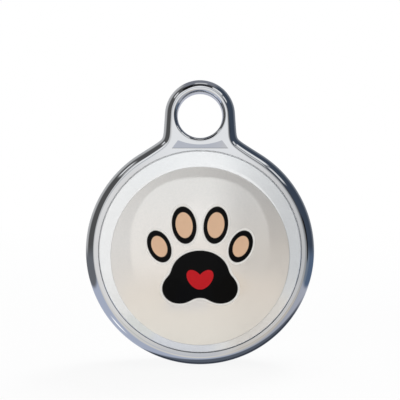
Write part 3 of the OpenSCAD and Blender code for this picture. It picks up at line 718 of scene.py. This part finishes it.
# %% [markdown]
# A chrome edge shows the whole room, and in an all white room it would vanish. Photographers stand
# cards round such a thing, out of the lens's sight. Here the cards are painted on one ball round
# the tag that only mirrors see. Directions are counted in degrees from the line to the lens: across
# to the right, up, off that line, and clock, the turn round it with 0 at the right and 90 at the top.

# %% Directions on the ball
FINE_STEP, COARSE_STEP = 0.4, 2


def fine_in_front(low, high, end):
    """Angles from -end to end: close together where the face looks, further apart elsewhere."""
    return np.radians(np.concatenate([
        np.arange(-end, low, COARSE_STEP), np.arange(low, high, FINE_STEP),
        np.arange(high, end + 1, COARSE_STEP)]))


across, up = np.meshgrid(fine_in_front(-40, 40, 180), fine_in_front(-46, 40, 90))
ray = np.stack([np.sin(across) * np.cos(up), -np.cos(across) * np.cos(up), np.sin(up)], axis=-1)
off = np.degrees(np.arccos(np.clip(-ray[..., 1], -1, 1)))
clock = np.degrees(np.arctan2(ray[..., 2], ray[..., 0]))
across, up = np.degrees(across), np.degrees(up)


def soft_step(value, start, end):
    """0 before start, 1 after end, and a smooth S between."""
    t = np.clip((value - start) / (end - start), 0, 1)
    return t * t * (3 - 2 * t)


def between(value, low, high, soft):
    """1 between low and high, with soft ends outside them."""
    return soft_step(value, low - soft, low) * (1 - soft_step(value, high, high + soft))


def laid_over(below, mask, colour):
    """A card of one colour, or of one colour per point, over what is behind it, as strong as the
    mask."""
    return below + mask[..., None] * (np.asarray(colour) - below)


print("ball of", off.size, "directions")

# %% [markdown]
# The walls come first: a dark grey one on the left and a navy one on the right, both paler behind
# the tag, a skirting below them, a ceiling that is nearly black, and a few strips, most of them
# bright. Colours are amounts of light here, where 1 is white.

# %% Walls, ceiling and strips
GREY = np.ones(3)
LEFT_GREY, RIGHT_NAVY, CEILING_SOOT = 0.115, (0.06, 0.08, 0.115), (0.05, 0.05, 0.055)
LEFT_SKIRTING, RIGHT_SKIRTING, FAR_SKIRTING = (0.19, 0.2, 0.22), (0.22, 0.27, 0.34), (0.12, 0.175, 0.275)
PALE_LEFT, PALE_RIGHT, PALE_CEILING, CEILING_HUE = 0.5, 0.2, 0.22, (0.95, 1.0, 1.15)
STRIP_SOFT = 4
# clock from and to, off from and to, light
STRIPS = [
    (80, 96, 73, 86, 0.8), (104, 119, 42, 70, 0.01), (132, 139, 41, 48, 0.5),
    (132, 139, 61, 71, 1.1), (50, 66, 44, 60, 1.1), (35, 44, 38, 50, 0.95),
    (-12, 8, 18, 40, 0.012),
]

left_wall = (LEFT_GREY + PALE_LEFT * soft_step(off, 86, 108))[..., None] * GREY
right_wall = np.array(RIGHT_NAVY) + (PALE_RIGHT * soft_step(off, 96, 130))[..., None] * GREY
room_paint = laid_over(left_wall, soft_step(ray[..., 0], -0.15, 0.2), right_wall)
skirting = np.where(ray[..., :1] < 0, LEFT_SKIRTING, RIGHT_SKIRTING)
skirting = laid_over(skirting, soft_step(off, 50, 68) * (ray[..., 0] > 0), FAR_SKIRTING)
room_paint = laid_over(room_paint, soft_step(-ray[..., 2], 0.03, 0.16), skirting)
ceiling = np.array(CEILING_SOOT) + (PALE_CEILING * soft_step(off, 66, 80))[..., None] * CEILING_HUE
room_paint = laid_over(room_paint, between(clock, 70, 110, 14), ceiling)
for low, high, near, far, light in STRIPS:
    strip = between(clock, low, high, STRIP_SOFT) * between(off, near, far, STRIP_SOFT)
    room_paint = laid_over(room_paint, strip, light * GREY)
print("walls, ceiling and", len(STRIPS), "strips painted")

# %% [markdown]
# A sheet of lavender paper lies below. The tag's own dark reflection is painted in it as shade, and
# a painted glint of a lamp is at its left.

# %% Paper below
LAVENDER, RIGHT_LAVENDER, REAR_LAVENDER = (0.56, 0.61, 0.75), (0.52, 0.54, 0.62), (0.75, 0.77, 0.82)
OWN_SHADE, DEEP_SHADE, GLINT, BEHIND = (0.13, 0.15, 0.19), (0.05, 0.06, 0.08), 1.6, (0.5, 0.52, 0.6)
GLINT_OFF, GLINT_CLOCK = 72, -134

sideways, upwards = off * np.cos(np.radians(clock)), off * np.sin(np.radians(clock))
on_paper = soft_step(-ray[..., 2] - 0.42 * np.abs(ray[..., 0]), -0.01, 0.05)
own_shade = soft_step(-upwards, 44, 56) * soft_step(sideways - 0.85 * upwards, 34, 48)
own_shade = own_shade * (1 - soft_step(clock, -44, -26))
# painted glint: a bright spot painted on the cards where a lamp's sparkle would show in the chrome
painted_glint = 1 - soft_step(np.hypot(off - GLINT_OFF, (clock - GLINT_CLOCK) * 1.2), 4, 8)
paper_paint = np.broadcast_to(LAVENDER, ray.shape)
for mask, colour in (
        (soft_step(sideways, 0, 30), RIGHT_LAVENDER), (own_shade, OWN_SHADE),
        (own_shade * soft_step(off, 84, 104), DEEP_SHADE), (soft_step(off, 125, 150), REAR_LAVENDER),
        (painted_glint, GLINT * GREY)):
    paper_paint = laid_over(paper_paint, mask, colour)
room_paint = laid_over(room_paint, on_paper, paper_paint)
room_paint = laid_over(room_paint, soft_step(off, 150, 165), BEHIND)
print("paper painted")

# %% [markdown]
# In front is the bright window. It reaches far up and hardly to the right, so its reach and its
# light are listed by the hour. A thin round frame stands in it, darkest at the upper right: that is
# the grey crescent along the rim of the dome. Frame and pane are circles drawn a little towards a
# square, by a power of 2.4 in place of 2. The pane is cooler above and darker at the right.

# %% Window in front
HOURS = [-180, -90, -40, -15, 0, 22, 40, 50, 68, 90, 112, 128, 150, 180]
REACH = [30, 16, 10, 8, 10, 16, 21, 37, 38, 38, 33, 42, 35, 30]
GLOW = [0.8, 0.65, 0.5, 0.3, 0.2, 0.3, 0.6, 0.77, 0.95, 1.25, 1.2, 1.15, 1.0, 0.8]
FRAME = [0.75, 0.65, 0.5, 0.38, 0.21, 0.09, 0.11, 0.13, 0.21, 0.34, 0.41, 0.47, 0.61, 0.75]
WINDOW_POWER, WINDOW_LOW = 2.4, 3.0
FRAME_END, FRAME_SPREAD, LEFT_FRAME_END, PANE_END = 24.9, 2.2, 28, 20.5
PANE, HIGH_PANE, RIGHT_PANE = (1.04, 1.02, 1.0), (1.0, 1.03, 1.05), (0.48, 0.49, 0.5)

reach, glow_light, frame_light = [np.interp(clock, HOURS, row) for row in (REACH, GLOW, FRAME)]
in_reach = 1 - soft_step(off, reach - 3, reach + 3)
room_paint = laid_over(room_paint, in_reach, glow_light[..., None] * GREY)
beside, above = np.abs(across) ** WINDOW_POWER, np.abs(up + WINDOW_LOW) ** WINDOW_POWER
from_window = (beside + above) ** (1 / WINDOW_POWER)
frame_end = FRAME_END + FRAME_SPREAD * ((clock - 90) / 60) ** 2
in_frame = 1 - soft_step(from_window, frame_end - 0.3, frame_end + 0.3)
in_left_frame = 1 - soft_step(from_window, LEFT_FRAME_END, LEFT_FRAME_END + 1)
round_frame = np.maximum(
    in_frame * soft_step(clock, -60, -30), in_left_frame * soft_step(np.abs(clock), 140, 160))
room_paint = laid_over(room_paint, round_frame, frame_light[..., None] * GREY)
pane = laid_over(np.broadcast_to(PANE, ray.shape), soft_step(up, 0, 15), HIGH_PANE)
pane = laid_over(pane, soft_step(across, 2, 15), RIGHT_PANE)
room_paint = laid_over(room_paint, 1 - soft_step(from_window, PANE_END, PANE_END + 0.6), pane)
print("window painted")

# %% [markdown]
# At its foot the window fades to a warm sill, so that no hard line runs across the face. The lower
# border of the face looks just there. It shows a lavender patch of the paper straight below, a warm
# tone at the lower right and a faint green one at the lower left. A bright spot in the upper part of
# the window lifts the middle of the dome.

# %% Foot of the window
SILL, RIGHT_SILL, PAPER_PATCH, SPOT = (0.9, 0.87, 0.82), (0.7, 0.66, 0.61), (0.69, 0.71, 0.78), 1.15
SPOT_UP = 5.5
# clock from and to, softness, tone
BORDER_TONES = [(-73, -48, 8, (0.7, 0.62, 0.52)), (-123, -114, 5, (0.72, 0.73, 0.67))]

foot = between(-up, 16, 33, 9) * (1 - soft_step(np.abs(across), 22, 30))
foot_paint = laid_over(np.broadcast_to(SILL, ray.shape), soft_step(across, 0, 20), RIGHT_SILL)
room_paint = laid_over(room_paint, foot, foot_paint)
patch = between(-up, 15.5, 20.5, 3) * between(across, -8.5, 0.5, 4)
room_paint = laid_over(room_paint, patch, PAPER_PATCH)
for low, high, soft, tone in BORDER_TONES:
    on_border = between(clock, low, high, soft) * between(off, 15.5, 20, 2.5)
    room_paint = laid_over(room_paint, on_border, tone)
bright_spot = 1 - soft_step(np.hypot(across, up - SPOT_UP), 3, 8)
room_paint = laid_over(room_paint, bright_spot, SPOT * GREY)
print("foot of the window painted; brightest", round(float(room_paint.max()), 2))

# %% [markdown]
# The paint becomes a colour on every point of the ball, and the ball glows with it. Only mirrors
# see it. The floor is hidden from them, because the painted paper stands in for it.

# %% Ball of cards
BALL_R, BALL_CENTRE = 0.45, (0, 0, -LOOP_Y * MM)
card, tree, shader = new_finish("painted_cards")
paint = add(tree, "ShaderNodeVertexColor", layer_name="card_colour")
glow = add(tree, "ShaderNodeEmission", {"Color": paint.outputs["Color"], "Strength": 1.0})
tree.links.new(glow.outputs[0], tree.nodes["Material Output"].inputs["Surface"])
ball_points, _, ball_faces = grid(BALL_R * ray + BALL_CENTRE, ray, closed=False)
ball_mesh = bpy.data.meshes.new("reflection_cards")
ball_mesh.from_pydata(ball_points.tolist(), [], ball_faces.tolist())
painted_on = ball_mesh.color_attributes.new("card_colour", "FLOAT_COLOR", "POINT")
rgba = np.concatenate([room_paint.reshape(-1, 3), np.ones((len(ball_points), 1))], axis=1)
painted_on.data.foreach_set("color", rgba.astype(np.float32).ravel())
ball_mesh.materials.append(card)
cards = new_object("reflection_cards", ball_mesh)
cards.visible_camera = cards.visible_diffuse = cards.visible_shadow = False
cards.visible_transmission = cards.visible_volume_scatter = False
floor.visible_glossy = False
print("cards of", len(ball_faces), "faces")

# %% [markdown]
# Four soft boxes light the tag: a key from the upper left in front, a weak fill from the right, one
# above, and one behind it for the back, which the first picture does not show.
# The cards already give the mirrors all they should see, so the lamps stay out of the reflections.

# %% Lamps
# name, place and width in metres, power in watts
LAMPS = [
    ("key_softbox", (-0.42, -0.48, 0.14), 0.36, 1.3), ("fill_softbox", (0.45, -0.45, 0.15), 0.4, 0.18),
    ("top_softbox", (0.0, 0.1, 0.6), 0.5, 1.4), ("rear_softbox", (0.2, 0.28, 0.55), 0.2, 1.8),
]
for name, where, size, power in LAMPS:
    lamp = new_object(name, bpy.data.lights.new(name, "AREA"))
    lamp.data.size = size
    lamp.data.energy = power
    lamp.location = where
    lamp.rotation_euler = (Vector(BALL_CENTRE) - Vector(where)).to_track_quat("-Z", "Y").to_euler()
    lamp.visible_camera = lamp.visible_glossy = False
print("lamps:", [row[0] for row in LAMPS])
